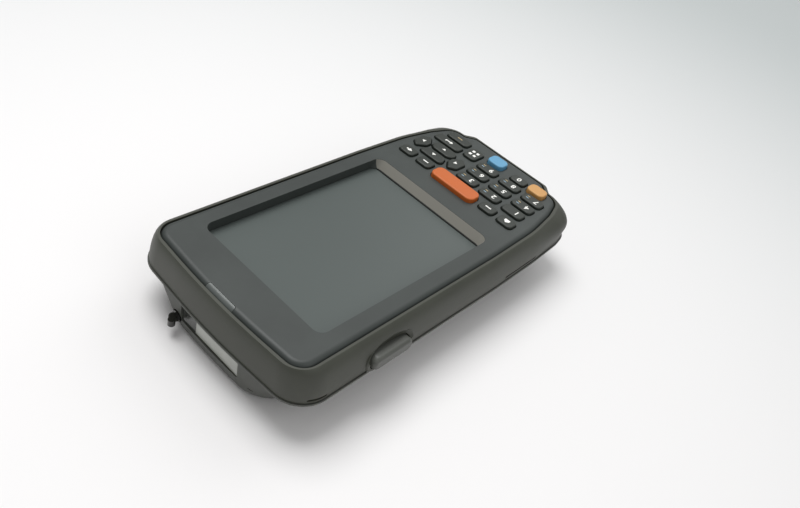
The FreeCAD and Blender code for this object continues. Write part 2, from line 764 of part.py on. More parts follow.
def door_space():
    # Recess for the door and the two grooves its rails run in
    half = DOOR_HALF + MOVE_GAP
    mouth = RIM_END_Y[0] - RIM_CHIN_OUT[0] - OVER
    high_y = DOOR_HIGH_Y + MOVE_GAP
    recess = box(-half, half, mouth, high_y, -OVER, DOOR_HIGH + MOVE_GAP)
    rail_high = DOOR_RAIL_HIGH + MOVE_GAP
    rail_low = DOOR_HIGH + MOVE_GAP
    groove_in = DOOR_HALF - DOOR_RAIL_WEB - MOVE_GAP
    groove_out = DOOR_HALF + DOOR_RAIL_OUT + MOVE_GAP
    groove = box(groove_in, groove_out, mouth, high_y - DOOR_RAIL_END, rail_low - TINY, rail_high)
    return [recess, groove, mirror_x(groove)]


def parting_bead():
    # Thin flange that runs round the shell just under the rim
    outer = inset(rim_corners(0), -BEAD_OUT)
    foot = rounded_wire(inset(outer, BEAD_BEVEL), REAR_TOP - BEAD_TALL)
    edge = rounded_wire(outer, REAR_TOP - BEAD_TALL + BEAD_BEVEL)
    head = rounded_wire(outer, REAR_TOP)
    return Part.makeLoft([foot, edge, head], True, True)


def rear_housing():
    shell = rear_block()
    shell = shell.fuse(parting_bead())
    lip = inset(rim_corners(0), RIM_WALL + SEAM_GAP)
    spigot = prism(lip, REAR_TOP - OVER / 2, REAR_TOP + SPIGOT_RISE)
    spigot = spigot.cut(prism(inset(lip, SPIGOT_WALL), REAR_TOP - OVER, REAR_TOP + SPIGOT_RISE + OVER))
    shell = shell.fuse(spigot.cut(web_boxes(SEAM_GAP)))
    shell = shell.cut(prism(inset(rear_corners(1), REAR_WALL), DECK_Z, REAR_TOP + OVER))
    wall_y = WINDOW_FACE_Y - WINDOW_THICK - WINDOW_LIP
    engine = box(
        -ENGINE_POCKET_HALF,
        ENGINE_POCKET_HALF,
        ENGINE_BACK_Y - ENGINE_GAP,
        wall_y,
        ENGINE_LOW - ENGINE_GAP / 2,
        DECK_Z + OVER,
    )
    shell = shell.cut(engine)
    shell = shell.cut(window_seat())
    shell = shell.cut(rod(SILO_R, V(STYLUS_X, SILO_END_Y, STYLUS_Z), RIM_CROWN_Y[0] - SILO_END_Y + OVER, V(0, 1, 0)))
    bay = rectangle(BAY_LEFT, BAY_RIGHT, BAY_LOW_Y, BAY_HIGH_Y, PACK_R)
    shell = shell.cut(prism(bay, -OVER, BAY_TOP))
    shell = shell.cut(door_space())
    contacts = box(
        CONTACT_X - CONTACT_HALF,
        CONTACT_X + CONTACT_HALF,
        BAY_HIGH_Y - OVER,
        BAY_HIGH_Y + CONTACT_DEPTH,
        CONTACT_LOW,
        CONTACT_HIGH,
    )
    shell = shell.cut(contacts)
    shell = shell.cut(speaker_space())
    shell = shell.cut(dock_space())
    shell = shell.cut(screw_spaces())
    lobe = button_lobe(SEAM_GAP)
    inside = stadium(
        BUTTON_HALF_LONG + BUTTON_FLANGE + MOVE_GAP,
        BUTTON_HALF_HIGH + BUTTON_FLANGE + MOVE_GAP,
        BUTTON_IN - BUTTON_TRAVEL - MOVE_GAP,
        LOBE_OUT - LOBE_EDGE_R,
    )
    shell = shell.cut([lobe, mirror_x(lobe), inside, mirror_x(inside)])
    step = scan_end_trim()
    shell = shell.cut(step)
    for x, y, seat in screw_places():
        boss = rod(BOSS_R, V(x, y, DECK_Z - OVER), RIM_LOW - DECK_Z + OVER, V(0, 0, 1))
        boss = boss.cut(rod(SCREW_R + SEAM_GAP, V(x, y, DECK_Z - 2 * OVER), RIM_LOW, V(0, 0, 1)))
        shell = shell.fuse(boss)
    return shell.removeSplitter()


def window_seat():
    # Seat for the scan window with a slightly smaller light path behind it
    seat = rectangle(-WINDOW_HALF, WINDOW_HALF, WINDOW_LOW, WINDOW_HIGH, WINDOW_CORNER_R)
    seat = upright(seat, WINDOW_FACE_Y - WINDOW_THICK, RIM_CROWN_Y[0] + OVER)
    half = WINDOW_HALF - WINDOW_LIP
    path = box(
        -half + WINDOW_LIP,
        half - WINDOW_LIP,
        ENGINE_FRONT_Y - OVER,
        RIM_CROWN_Y[0],
        WINDOW_LOW + WINDOW_LIP,
        WINDOW_HIGH - WINDOW_LIP,
    )
    return [seat, path]


def upright(corners, y0, y1):
    # Turn a flat outline to face +Y and give it depth
    face = Part.Face(rounded_wire(corners, 0))
    face.rotate(V(0, 0, 0), V(1, 0, 0), 90)
    face.translate(V(0, y0, 0))
    return face.extrude(V(0, y1 - y0, 0))


def scan_end_trim():
    # Small notch low on the left of the scanner end
    return box(
        SCAN_NOTCH_X - OVER,
        SCAN_NOTCH_X + OVER,
        WINDOW_FACE_Y - OVER,
        RIM_CROWN_Y[0],
        SCAN_NOTCH_Z,
        SCAN_NOTCH_Z + OVER / 2,
    )


def scan_window():
    outline = rectangle(-WINDOW_HALF, WINDOW_HALF, WINDOW_LOW, WINDOW_HIGH, WINDOW_CORNER_R)
    outline = inset(outline, SEAM_GAP / 2)
    return upright(outline, WINDOW_FACE_Y - WINDOW_THICK, WINDOW_FACE_Y)


def scan_engine():
    body = box(-ENGINE_HALF, ENGINE_HALF, ENGINE_BACK_Y, ENGINE_FRONT_Y, ENGINE_LOW, ENGINE_HIGH)
    front = [edge for edge in body.Edges if abs(edge.BoundBox.YMin - ENGINE_FRONT_Y) < TINY]
    body = body.makeChamfer(ENGINE_BEVEL, front)
    middle = (ENGINE_LOW + ENGINE_HIGH) / 2
    for side in (1, -1):
        lens = rod(LENS_R, V(side * LENS_X, ENGINE_FRONT_Y - OVER, middle), OVER + LENS_OUT, V(0, 1, 0))
        hollow = rod(LENS_R - OVER, V(side * LENS_X, ENGINE_FRONT_Y, middle), LENS_OUT + OVER, V(0, 1, 0))
        body = body.fuse(lens).cut(hollow)
    return body.removeSplitter()


def stylus():
    # Barrel in the silo with a hooked two-lobed head outside the end wall
    straight = STYLUS_NECK_Y - STYLUS_TIP_Y - STYLUS_CONE
    barrel = rod(STYLUS_R, V(STYLUS_X, STYLUS_TIP_Y + STYLUS_CONE, STYLUS_Z), straight, V(0, 1, 0))
    tip = Part.makeCone(STYLUS_TIP_R, STYLUS_R, STYLUS_CONE, V(STYLUS_X, STYLUS_TIP_Y, STYLUS_Z), V(0, 1, 0))
    head_y = STYLUS_NECK_Y + HOOK_REACH
    low = STYLUS_Z - HOOK_THICK / 2
    neck = box(
        STYLUS_X - HOOK_R,
        STYLUS_X + HOOK_R / 2,
        STYLUS_NECK_Y - OVER,
        head_y - HOOK_R,
        low,
        low + HOOK_THICK,
    )
    lobe = rod(HOOK_R, V(STYLUS_X - HOOK_R, head_y - HOOK_R, low), HOOK_THICK, V(0, 0, 1))
    knob = rod(HOOK_R, V(STYLUS_X, head_y - 2 * HOOK_R, low), HOOK_THICK, V(0, 0, 1))
    return barrel.fuse([tip, neck, lobe, knob]).removeSplitter()


def touch_panel():
    outline = rectangle(-PANEL_HALF, PANEL_HALF, PANEL_LOW_Y, PANEL_HIGH_Y, PANEL_CORNER_R)
    return prism(outline, GLASS_TOP - GLASS_THICK, GLASS_TOP)


def display_gasket():
    outer = rectangle(-PANEL_HALF, PANEL_HALF, PANEL_LOW_Y, PANEL_HIGH_Y, PANEL_CORNER_R)
    band = prism(outer, GLASS_TOP, GLASS_TOP + GASKET_THICK)
    hole = rectangle(
        -PANEL_HALF + GASKET_WIDTH,
        PANEL_HALF - GASKET_WIDTH,
        SCREEN_LOW_Y + SCREEN_SLOPE + SEAM_GAP,
        SCREEN_HIGH_Y - SEAM_GAP,
        PANEL_CORNER_R,
    )
    return band.cut(prism(hole, GLASS_TOP - OVER, GLASS_TOP + OVER))


def lcd_module():
    outline = rectangle(
        -PANEL_HALF + LCD_INSET,
        PANEL_HALF - LCD_INSET,
        PANEL_LOW_Y + LCD_INSET,
        PANEL_HIGH_Y - LCD_INSET,
        PANEL_CORNER_R,
    )
    top = GLASS_TOP - GLASS_THICK
    body = prism(outline, top - LCD_THICK, top)
    return body.makeChamfer(LCD_INSET, edges_at(body, top - LCD_THICK))


def main_board():
    outline = rectangle(-BOARD_HALF, BOARD_HALF, BOARD_LOW_Y, BOARD_HIGH_Y, BOARD_CORNER_R)
    blank = prism(outline, BOARD_TOP - BOARD_THICK, BOARD_TOP)
    for x, y, seat in screw_places():
        low = BOARD_TOP - BOARD_THICK
        blank = blank.cut(rod(BOSS_R + MOVE_GAP, V(x, y, low), BOARD_THICK, V(0, 0, 1)))
    blank = blank.cut(web_boxes(MOVE_GAP))
    chips = []
    for x, y, width, height in CHIP_SPOTS:
        chips.append(box(x - width / 2, x + width / 2, y - height / 2, y + height / 2, BOARD_TOP - TINY,
                         BOARD_TOP + CHIP_RISE))
    return blank.fuse(chips).removeSplitter()


def radio_module():
    low = BOARD_TOP - BOARD_THICK
    can = box(RADIO_BOX[0], RADIO_BOX[1], RADIO_BOX[2], RADIO_BOX[3], low - RADIO_DROP, low)
    return can.makeChamfer(PACK_GAP, edges_at(can, low - RADIO_DROP))


def card_socket():
    low = BOARD_TOP - BOARD_THICK
    body = box(CARD_BOX[0], CARD_BOX[1], CARD_BOX[2], CARD_BOX[3], low - CARD_DROP, low)
    mouth = box(
        CARD_BOX[1] - OVER * 3,
        CARD_BOX[1] + OVER,
        CARD_BOX[2] + OVER,
        CARD_BOX[3] - OVER,
        low - CARD_DROP + CHIP_RISE,
        low - CHIP_RISE,
    )
    return body.cut(mouth)


def side_switches():
    high = BOARD_TOP + SWITCH_TALL
    body = box(SWITCH_IN, SWITCH_OUT, BUTTON_Y - SWITCH_HALF, BUTTON_Y + SWITCH_HALF, BOARD_TOP, high)
    plunger = box(
        SWITCH_OUT - OVER,
        PLUNGER_OUT,
        BUTTON_Y - PLUNGER_HALF,
        BUTTON_Y + PLUNGER_HALF,
        BOARD_TOP + CHIP_RISE,
        high - CHIP_RISE,
    )
    switch = body.fuse(plunger).removeSplitter()
    return Part.makeCompound([switch, mirror_x(switch)])


def side_button():
    cap = stadium(BUTTON_HALF_LONG, BUTTON_HALF_HIGH, BUTTON_IN, BUTTON_OUT)
    rim = []
    for edge in cap.Edges:
        limits = edge.BoundBox
        if abs(limits.XMin - BUTTON_OUT) < TINY:
            rim.append(edge)
    cap = cap.makeFillet(BUTTON_EDGE_R, rim)
    flange_out = BUTTON_FACE_IN
    flange = stadium(
        BUTTON_HALF_LONG + BUTTON_FLANGE,
        BUTTON_HALF_HIGH + BUTTON_FLANGE,
        flange_out - BUTTON_FLANGE_THICK,
        flange_out,
    )
    return cap.fuse(flange).removeSplitter()


def keypad_outline(extra):
    outline = rectangle(
        -KEYPAD_HALF - extra, KEYPAD_HALF + extra, KEYPAD_LOW_Y - extra, KEYPAD_HIGH_Y + extra, KEYPAD_CORNER_R
    )
    return outline


def keypad_board():
    blank = prism(keypad_outline(0), DOME_BASE - KEYPAD_THICK, DOME_BASE)
    return blank


def dome_sheet():
    sheet = prism(keypad_outline(-OVER), DOME_BASE, DOME_BASE + DOME_SHEET)
    domes = []
    for x, y in key_centres():
        base = V(x, y, DOME_BASE)
        domes.append(Part.makeCone(DOME_R, DOME_R / 2, DOME_RISE, base, V(0, 0, 1)))
    sheet = sheet.fuse(domes)
    holes = []
    for x, y in post_places():
        holes.append(rod(POST_R + MOVE_GAP, V(x, y, DOME_BASE - OVER), 2 * OVER, V(0, 0, 1)))
    return sheet.cut(holes).removeSplitter()


def board_link():
    return box(-LINK_HALF, LINK_HALF, LINK_Y - LINK_DEPTH / 2, LINK_Y + LINK_DEPTH / 2, BOARD_TOP,
               DOME_BASE - KEYPAD_THICK)


def speaker_space():
    low = SPEAKER_HIGH - SPEAKER_TALL
    axis = V(0, 0, 1)
    well = rod(SPEAKER_R + SEAM_GAP, V(SPEAKER_X, SPEAKER_Y, low), DECK_Z - low + OVER, axis)
    tools = [well, rod(GRILLE_R, V(SPEAKER_X, SPEAKER_Y, -OVER), low + 2 * OVER, axis)]
    for i in range(6):
        angle = math.radians(60 * i)
        x = SPEAKER_X + GRILLE_PITCH * math.cos(angle)
        y = SPEAKER_Y + GRILLE_PITCH * math.sin(angle)
        tools.append(rod(GRILLE_R, V(x, y, -OVER), low + 2 * OVER, axis))
    return tools


def speaker():
    low = SPEAKER_HIGH - SPEAKER_TALL
    axis = V(0, 0, 1)
    basket = rod(SPEAKER_R, V(SPEAKER_X, SPEAKER_Y, low), SPEAKER_TALL / 2, axis)
    magnet = rod(SPEAKER_R - SPEAKER_LIP * 2, V(SPEAKER_X, SPEAKER_Y, low), SPEAKER_TALL, axis)
    cone = Part.makeCone(
        SPEAKER_R - SPEAKER_LIP, SPEAKER_R / 2, SPEAKER_LIP, V(SPEAKER_X, SPEAKER_Y, low), axis
    )
    return basket.fuse(magnet).cut(cone).removeSplitter()


def dock_space():
    mouth = RIM_END_Y[0] - RIM_CHIN_OUT[0] - OVER
    return box(-DOCK_HALF, DOCK_HALF, mouth, DOCK_Y + DOCK_DEPTH, DOCK_LOW, DOCK_HIGH)


def dock_contacts():
    body = box(-DOCK_HALF, DOCK_HALF, DOCK_Y, DOCK_Y + DOCK_DEPTH, DOCK_LOW, DOCK_HIGH)
    pins = []
    first = -DOCK_PIN_PITCH * (DOCK_PIN_COUNT - 1) / 2
    for i in range(DOCK_PIN_COUNT):
        x = first + i * DOCK_PIN_PITCH
        pins.append(box(x - DOCK_PIN_HALF, x + DOCK_PIN_HALF, DOCK_Y - DOCK_INSET, DOCK_Y + DOCK_INSET,
                        DOCK_LOW + OVER, DOCK_HIGH - OVER))
    return body.fuse(pins).removeSplitter()


def battery_pack():
    outline = rectangle(
        BAY_LEFT + PACK_GAP, BAY_RIGHT - PACK_GAP, BAY_LOW_Y + PACK_GAP, BAY_HIGH_Y - PACK_GAP, PACK_R
    )
    pack = prism(outline, PACK_LOW, PACK_HIGH)
    edges = edges_at(pack, PACK_LOW) + edges_at(pack, PACK_HIGH)
    return pack.makeFillet(OVER, edges)


def battery_contacts():
    body = box(
        CONTACT_X - CONTACT_HALF,
        CONTACT_X + CONTACT_HALF,
        BAY_HIGH_Y,
        BAY_HIGH_Y + CONTACT_DEPTH,
        CONTACT_LOW,
        CONTACT_HIGH,
    )
    blades = []
    first = CONTACT_X - BLADE_PITCH * (BLADE_COUNT - 1) / 2
    for i in range(BLADE_COUNT):
        x = first + i * BLADE_PITCH
        blades.append(box(x - BLADE_HALF, x + BLADE_HALF, BAY_HIGH_Y - PACK_GAP, BAY_HIGH_Y + OVER,
                          CONTACT_LOW + OVER, CONTACT_HIGH - OVER))
    return body.fuse(blades).removeSplitter()


def battery_door():
    plate = rectangle(-DOOR_HALF, DOOR_HALF, DOOR_LOW_Y, DOOR_HIGH_Y, DOOR_CORNER_R)
    door = prism(plate, DOOR_LOW, DOOR_HIGH)
    rail_end = DOOR_HIGH_Y - DOOR_RAIL_END
    web_low = DOOR_HALF - DOOR_RAIL_WEB
    start = DOOR_LOW_Y + DOOR_CORNER_R
    lift = DOOR_HIGH + 2 * MOVE_GAP
    web = box(web_low, DOOR_HALF, start, rail_end, DOOR_HIGH - TINY, DOOR_RAIL_HIGH)
    flange = box(web_low, DOOR_HALF + DOOR_RAIL_OUT, start, rail_end, lift, DOOR_RAIL_HIGH)
    door = door.fuse([web, flange, mirror_x(web), mirror_x(flange)])
    grooves = []
    for i in range(GRIP_COUNT):
        y = GRIP_START_Y + i * GRIP_PITCH
        grooves.append(box(-GRIP_HALF, GRIP_HALF, y, y + GRIP_WIDTH, DOOR_LOW - OVER, DOOR_LOW + GRIP_DEPTH))
    return door.cut(grooves).removeSplitter()


def screw_spaces():
    tools = []
    for x, y, seat in screw_places():
        tools.append(rod(SCREW_BORE_R, V(x, y, -OVER), seat + OVER, V(0, 0, 1)))
        tools.append(rod(SCREW_R + SEAM_GAP, V(x, y, 0), RIM_LOW + OVER, V(0, 0, 1)))
    return tools


def housing_screws():
    screws = []
    for x, y, seat in screw_places():
        cap = rod(SCREW_CAP_R, V(x, y, seat - SCREW_CAP_TALL), SCREW_CAP_TALL, V(0, 0, 1))
        shank = rod(SCREW_R, V(x, y, seat - TINY), SCREW_TIP - seat, V(0, 0, 1))
        socket = []
        for i in range(6):
            angle = math.radians(60 * i)
            socket.append(V(x + HEX_R * math.cos(angle), y + HEX_R * math.sin(angle), 0))
        socket.append(socket[0])
        recess = Part.Face(Part.makePolygon(socket))
        recess.translate(V(0, 0, seat - SCREW_CAP_TALL))
        screw = cap.fuse(shank).cut(recess.extrude(V(0, 0, HEX_DEPTH)))
        screws.append(screw.removeSplitter())
    return Part.makeCompound(screws)


def save(name, shape):
    shape.exportStep("parts/%s.step" % name)


save("face_plate", face_plate())
save("mid_frame", mid_frame())
save("rear_housing", rear_housing())
save("light_pipe", light_pipe())
save("touch_panel", touch_panel())
save("display_gasket", display_gasket())
save("lcd_module", lcd_module())
save("main_board", main_board())
save("radio_module", radio_module())
save("card_socket", card_socket())
save("side_switches", side_switches())
save("keypad_board", keypad_board())
save("dome_sheet", dome_sheet())
save("board_link", board_link())
save("scan_window", scan_window())
save("scan_engine", scan_engine())
save("speaker", speaker())
save("dock_contacts", dock_contacts())
save("battery_pack", battery_pack())
save("battery_contacts", battery_contacts())
save("battery_door", battery_door())
save("housing_screws", housing_screws())
save("stylus", stylus())
save("left_scan_button", mirror_x(side_button()))
save("right_scan_button", side_button())
for key_name, (key_corners, key_top) in key_plan().items():
    save(key_name, key_solid(key_corners, key_top))
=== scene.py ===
import bpy
from mathutils import Matrix, Vector


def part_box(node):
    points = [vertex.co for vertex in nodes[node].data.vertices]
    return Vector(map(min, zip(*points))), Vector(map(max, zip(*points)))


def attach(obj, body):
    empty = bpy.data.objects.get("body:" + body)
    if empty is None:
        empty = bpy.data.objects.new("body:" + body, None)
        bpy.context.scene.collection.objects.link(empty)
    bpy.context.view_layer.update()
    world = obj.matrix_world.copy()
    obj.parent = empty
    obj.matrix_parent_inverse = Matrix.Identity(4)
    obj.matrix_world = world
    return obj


MM = 0.001

# The corners of a square, anticlockwise from the lower left
CORNERS = ((-1, -1), (1, -1), (1, 1), (-1, 1))

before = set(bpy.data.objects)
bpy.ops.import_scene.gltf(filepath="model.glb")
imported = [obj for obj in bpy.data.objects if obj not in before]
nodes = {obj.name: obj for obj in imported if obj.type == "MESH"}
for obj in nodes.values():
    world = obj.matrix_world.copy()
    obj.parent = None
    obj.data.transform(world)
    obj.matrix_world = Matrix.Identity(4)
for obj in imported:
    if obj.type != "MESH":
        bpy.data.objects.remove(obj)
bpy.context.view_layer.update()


# Materials

MATERIAL_IOR = 1.45
COAT_ROUGHNESS = 0.12

# Soft clouds in the colour and the roughness, and the part of their range that carries the change
CLOUD_SCALE = 45.0
CLOUD_DETAIL = 5.0
CLOUD_ROUGHNESS = 0.6
CLOUD_LOW = 0.3
CLOUD_HIGH = 0.7
LOWEST_ROUGHNESS = 0.03

# Fine moulded grain
GRAIN_SCALE = 2600.0
GRAIN_DETAIL = 2.0
GRAIN_HEIGHT = 0.06 * MM
BUMP_PER_DEPTH = 4

# Worn edges with a painted highlight: the pointiness where the lightening begins and is full, and how much
# lighter such an edge is painted; partly real wear, partly a painted edge highlight
EDGE_WEAR_AND_HIGHLIGHT_BEGINS = 0.52
EDGE_WEAR_AND_HIGHLIGHT_FULL = 0.62
EDGE_WEAR_AND_HIGHLIGHT_LIGHTER = 2.2


def srgb(r, g, b):
    out = []
    for value in (r, g, b):
        c = value / 255
        out.append(c / 12.92 if c <= 0.04045 else ((c + 0.055) / 1.055) ** 2.4)
    return tuple(out) + (1.0,)


def shade(color, factor):
    return tuple(min(channel * factor, 1) for channel in color[:3]) + (1.0,)


def add_node(tree, kind, values, **settings):
    # Settings come first, because the sockets can depend on them
    node = tree.nodes.new("ShaderNode" + kind)
    for name, value in settings.items():
        setattr(node, name, value)
    for socket, value in values.items():
        node.inputs[socket].default_value = value
    return node


def multiply(tree, first, second):
    product = add_node(tree, "Math", {}, operation="MULTIPLY")
    for socket, factor in enumerate((first, second)):
        if isinstance(factor, float):
            product.inputs[socket].default_value = factor
        else:
            tree.links.new(factor, product.inputs[socket])
    return product.outputs["Value"]


def blend(tree, factor, source, color):
    # The source where the factor is 0, the plain colour where it is 1
    mix = add_node(tree, "Mix", {}, data_type="RGBA")
    tree.links.new(factor, mix.inputs[0])
    tree.links.new(source, mix.inputs[6])
    mix.inputs[7].default_value = color
    return mix.outputs[2]


def cloudy_color(tree, clouds, color, variation):
    ramp = add_node(tree, "ValToRGB", {})
    low, high = ramp.color_ramp.elements
    low.position = CLOUD_LOW
    high.position = CLOUD_HIGH
    low.color = shade(color, 1 - variation)
    high.color = shade(color, 1 + variation)
    tree.links.new(clouds, ramp.inputs["Fac"])
    return ramp.outputs["Color"]


# Lightens sharp edges in patches: partly real wear, partly a painted highlight where light catches the edges
def worn_edges(tree, clouds, base, color, wear_and_highlight):
    geometry = add_node(tree, "NewGeometry", {})
    edges = add_node(tree, "MapRange", {"From Min": EDGE_WEAR_AND_HIGHLIGHT_BEGINS, "From Max": EDGE_WEAR_AND_HIGHLIGHT_FULL})
    tree.links.new(geometry.outputs["Pointiness"], edges.inputs["Value"])
    patches = multiply(tree, edges.outputs["Result"], clouds)
    return blend(tree, multiply(tree, patches, wear_and_highlight), base, shade(color, EDGE_WEAR_AND_HIGHLIGHT_LIGHTER))


def material(name, color, rough, metallic=0.0, specular=0.5, coat=0.0, grain_depth=0.05,
             cloud=CLOUD_SCALE, variation=0.12, rough_range=0.08, wear_and_highlight=0.0):
    mat = bpy.data.materials.new(name)
    mat.use_nodes = True
    tree = mat.node_tree
    bsdf = tree.nodes["Principled BSDF"]
    bsdf.inputs["Metallic"].default_value = metallic
    bsdf.inputs["Specular IOR Level"].default_value = specular
    bsdf.inputs["Coat Weight"].default_value = coat
    bsdf.inputs["Coat Roughness"].default_value = COAT_ROUGHNESS
    bsdf.inputs["IOR"].default_value = MATERIAL_IOR
    coords = add_node(tree, "TexCoord", {}).outputs["Object"]
    noise = add_node(tree, "TexNoise", {"Scale": cloud, "Detail": CLOUD_DETAIL, "Roughness": CLOUD_ROUGHNESS})
    tree.links.new(coords, noise.inputs["Vector"])
    clouds = noise.outputs["Fac"]
    base = cloudy_color(tree, clouds, color, variation)
    if wear_and_highlight:
        base = worn_edges(tree, clouds, base, color, wear_and_highlight)
    tree.links.new(base, bsdf.inputs["Base Color"])
    spread = add_node(tree, "MapRange", {"To Min": max(rough - rough_range, LOWEST_ROUGHNESS),
                                         "To Max": min(rough + rough_range, 1.0)})
    tree.links.new(clouds, spread.inputs["Value"])
    tree.links.new(spread.outputs["Result"], bsdf.inputs["Roughness"])
    grain = add_node(tree, "TexNoise", {"Scale": GRAIN_SCALE, "Detail": GRAIN_DETAIL})
    tree.links.new(coords, grain.inputs["Vector"])
    bump = add_node(tree, "Bump", {"Strength": grain_depth * BUMP_PER_DEPTH, "Distance": GRAIN_HEIGHT})
    tree.links.new(grain.outputs["Fac"], bump.inputs["Height"])
    tree.links.new(bump.outputs["Normal"], bsdf.inputs["Normal"])
    return mat


def zone(mat, color, limits):
    # Another colour inside a box of the object's own space, with limits in mm for each axis named
    tree = mat.node_tree
    target = tree.nodes["Principled BSDF"].inputs["Base Color"]
    source = target.links[0].from_socket
    split = add_node(tree, "SeparateXYZ", {})
    tree.links.new(add_node(tree, "TexCoord", {}).outputs["Object"], split.inputs["Vector"])
    inside = 1.0
    for axis, (low, high) in limits.items():
        for edge, operation in ((low, "GREATER_THAN"), (high, "LESS_THAN")):
            test = add_node(tree, "Math", {1: edge * MM}, operation=operation)
            tree.links.new(split.outputs[axis], test.inputs[0])
            inside = multiply(tree, inside, test.outputs["Value"])
    tree.links.new(blend(tree, inside, source, color), target)


LOOKS = {
    "face_plate": material("face_plastic", srgb(54, 59, 57), 0.46, wear_and_highlight=0.25),
    "mid_frame": material("rim_plastic", srgb(61, 63, 55), 0.48, wear_and_highlight=0.3),
    "rear_housing": material("housing_plastic", srgb(74, 76, 71), 0.5, wear_and_highlight=0.25),
    "battery_door": material("door_plastic", srgb(76, 78, 73), 0.52, wear_and_highlight=0.25),
    "light_pipe": material("lamp_plastic", srgb(86, 91, 89), 0.38, coat=0.15, grain_depth=0.004),
    "touch_panel": material("display_glass", srgb(84, 91, 89), 0.32, specular=0.35, grain_depth=0.004,
                            variation=0.02, rough_range=0.03, cloud=12.0),
    "display_gasket": material("gasket_rubber", srgb(22, 22, 18), 0.8),
    "lcd_module": material("lcd_metal", srgb(150, 152, 152), 0.4, metallic=1.0),
    "main_board": material("board_green", srgb(24, 78, 46), 0.45),
    "radio_module": material("shield_can", srgb(170, 170, 166), 0.35, metallic=1.0),
    "card_socket": material("socket_steel", srgb(165, 165, 165), 0.35, metallic=1.0),
    "side_switches": material("switch_black", srgb(28, 28, 28), 0.5),
    "keypad_board": material("keypad_board_green", srgb(24, 78, 46), 0.45),
    "dome_sheet": material("dome_film", srgb(190, 190, 180), 0.3),
    "board_link": material("link_black", srgb(26, 26, 26), 0.5),
    # The scan window glass is painted light grey: a painted reflection of the bright floor in the glass
    "scan_window": material("window_glass", srgb(172, 174, 167), 0.24, coat=0.4, grain_depth=0.006,
                            variation=0.14, cloud=60.0),
    "scan_engine": material("engine_metal", srgb(44, 44, 44), 0.5),
    "speaker": material("speaker_black", srgb(30, 30, 30), 0.6),
    "dock_contacts": material("dock_brass", srgb(190, 160, 80), 0.3, metallic=1.0),
    "battery_pack": material("battery_wrap", srgb(70, 74, 80), 0.45),
    "battery_contacts": material("battery_brass", srgb(190, 160, 80), 0.3, metallic=1.0),
    "housing_screws": material("screw_steel", srgb(110, 110, 110), 0.35, metallic=1.0),
    "stylus": material("stylus_plastic", srgb(24, 24, 20), 0.22, coat=0.5, grain_depth=0.01),
    "left_scan_button": material("button_plastic", srgb(80, 82, 77), 0.42, wear_and_highlight=0.3),
    "key_scan": material("orange_key_plastic", srgb(192, 97, 38), 0.4, wear_and_highlight=0.1, variation=0.05),
    "key_amber": material("amber_key_plastic", srgb(200, 150, 88), 0.4, wear_and_highlight=0.1, variation=0.05),
    "key_blue": material("blue_key_plastic", srgb(96, 156, 192), 0.4, wear_and_highlight=0.1, variation=0.05),
}
LOOKS["right_scan_button"] = LOOKS["left_scan_button"]
dark_key = material("key_plastic", srgb(42, 47, 42), 0.42, wear_and_highlight=0.35)

# Painted sheen: the slope between the display and the keys is painted lighter than the rest of the face, for
# the light it catches
SLOPE_PAINTED_SHEEN_COLOR = srgb(140, 138, 130)
SLOPE_PAINTED_SHEEN_LIMITS = {"X": (-28.6, 28.6), "Y": (-24.9, -22.0), "Z": (24.5, 27.9)}

# The end of the scan window at the right of the face is painted dark on the glass, standing in for the
# recess's side wall: partly its dark plastic, partly painted shade
WINDOW_PAINTED_SHADE_COLOR = srgb(58, 60, 56)
WINDOW_PAINTED_SHADE_LIMITS = {"X": (7.2, 20.0)}


def dress_nodes():
    # Paints the sheen on the slope between the display and the keys
    zone(LOOKS["face_plate"], SLOPE_PAINTED_SHEEN_COLOR, SLOPE_PAINTED_SHEEN_LIMITS)
    # Paints the shade of the recess's side wall on the right end of the scan window
    zone(LOOKS["scan_window"], WINDOW_PAINTED_SHADE_COLOR, WINDOW_PAINTED_SHADE_LIMITS)
    for name, node in nodes.items():
        node.data.materials.clear()
        node.data.materials.append(LOOKS.get(name, dark_key))


dress_nodes()


# Legends: generic numerals and plain marks, printed on the key tops

PRINT_HALF_THICK = 0.03 * MM
DIGIT_SIZE = 3.5 * MM
DIGIT_BOLDER = 0.07 * MM
DIGIT_SHIFT = -1.7
MARK_SCALE = 0.78


def print_material(name, color):
    return material(name, color, 0.5, variation=0.03, grain_depth=0.01)


legend_white = print_material("legend_white", srgb(245, 245, 240))
legend_tan = print_material("legend_tan", srgb(190, 170, 130))
legend_blue = print_material("legend_blue", srgb(150, 175, 190))


def top_of(key):
    low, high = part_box(key)
    return Vector(((low[0] + high[0]) / 2, (low[1] + high[1]) / 2, high[2]))


def print_on(key, name, mesh, look):
    mesh.materials.clear()
    mesh.materials.append(look)
    piece = bpy.data.objects.new(name, mesh)
    bpy.context.scene.collection.objects.link(piece)
    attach(piece, key)


def flat_mark(name, key, points, look, at=(0, 0)):
    # A thin prism on the key top, over an outline in mm that runs anticlockwise
    top = top_of(key)
    outline = [(top.x + (x * MARK_SCALE + at[0]) * MM, top.y + (y * MARK_SCALE + at[1]) * MM)
               for x, y in points]
    base = [(x, y, top.z - PRINT_HALF_THICK) for x, y in outline]
    cap = [(x, y, top.z + PRINT_HALF_THICK) for x, y in outline]
    count = len(points)
    faces = [list(range(count))[::-1], [count + i for i in range(count)]]
    for i in range(count):
        j = (i + 1) % count
        faces.append([i, j, count + j, count + i])
    mesh = bpy.data.meshes.new(name)
    mesh.from_pydata(base + cap, [], faces)
    print_on(key, name, mesh, look)


